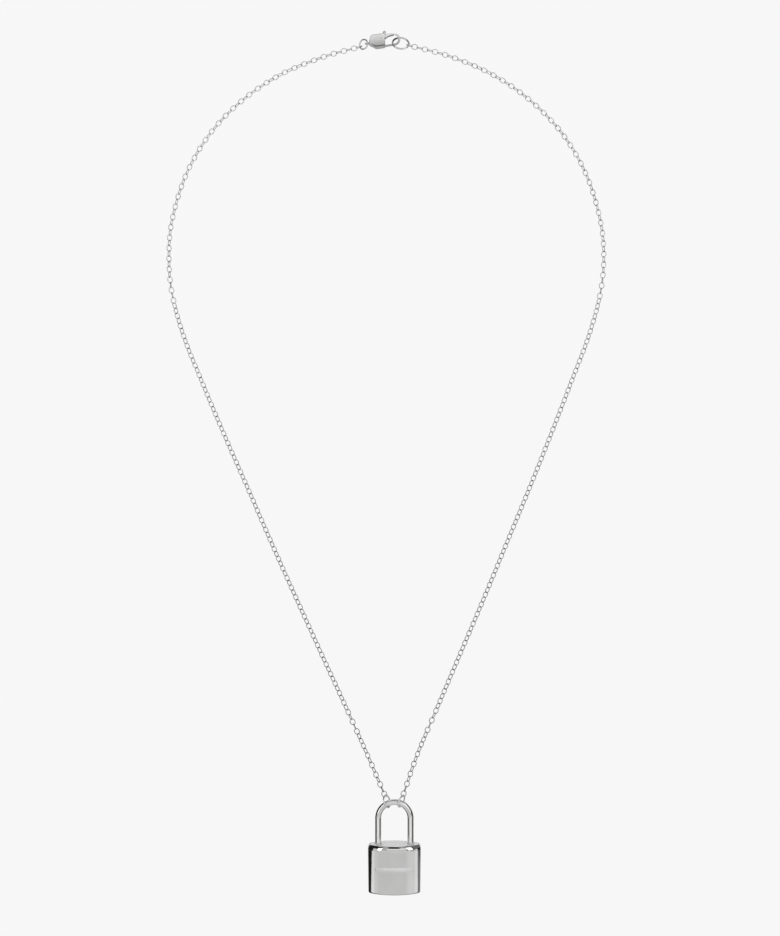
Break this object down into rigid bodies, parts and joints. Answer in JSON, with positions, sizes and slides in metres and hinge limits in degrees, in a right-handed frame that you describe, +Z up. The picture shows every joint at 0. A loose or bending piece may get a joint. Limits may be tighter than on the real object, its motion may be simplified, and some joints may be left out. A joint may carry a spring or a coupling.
{
  "type": "padlock necklace",
  "caption": "Silver-coloured necklace of fine oval links with a small polished padlock on two jump rings and a trigger clasp at the nape.",
  "frame": {"origin": "the top middle of the loop, where it lies on the nape or hangs on a hook", "axes": "+Z up, +X to the right as seen from the front, -Y towards the front of the padlock; the necklace hangs in the XZ plane"},
  "size_m": [0.119, 0.008, 0.2327],
  "materials": {
    "case": "polished silver with fine scratches",
    "rod": "polished silver rod",
    "ring_wire": "bright drawn wire",
    "chain": "bright wire links",
    "clasp": "tumbled cast silver",
    "rivet": "turned pin with flush ends"
  },
  "bodies": {
    "root": {"end_link_left": "chain", "end_link_right": "chain", "chain_left": "chain", "chain_right": "chain", "end_link_tail": "chain", "end_link_catch": "chain", "ring_tail": "ring_wire", "ring_catch": "ring_wire", "clasp_body": "clasp", "clasp_rivet": "rivet"},
    "pendant": {"lock_body": "case", "shackle": "rod", "ring_left": "ring_wire", "ring_right": "ring_wire"},
    "lever": {"clasp_lever": "clasp"}
  },
  "joints": [
    {"name": "pendant_swing", "type": "hinge", "parent": "root", "child": "pendant", "pos_m": [0.00225, 0, -0.20355], "axis": [1, 0, 0], "range_deg": [-35, 35]},
    {"name": "lever_turn", "type": "hinge", "parent": "root", "child": "lever", "pos_m": [-0.00137, 0.00003, 0.00094], "axis": [0.0103, 0.9976, -0.069], "range_deg": [0, 11], "stiffness_Nm_per_rad": 0.002, "springref_deg": -11.46}
  ]
}
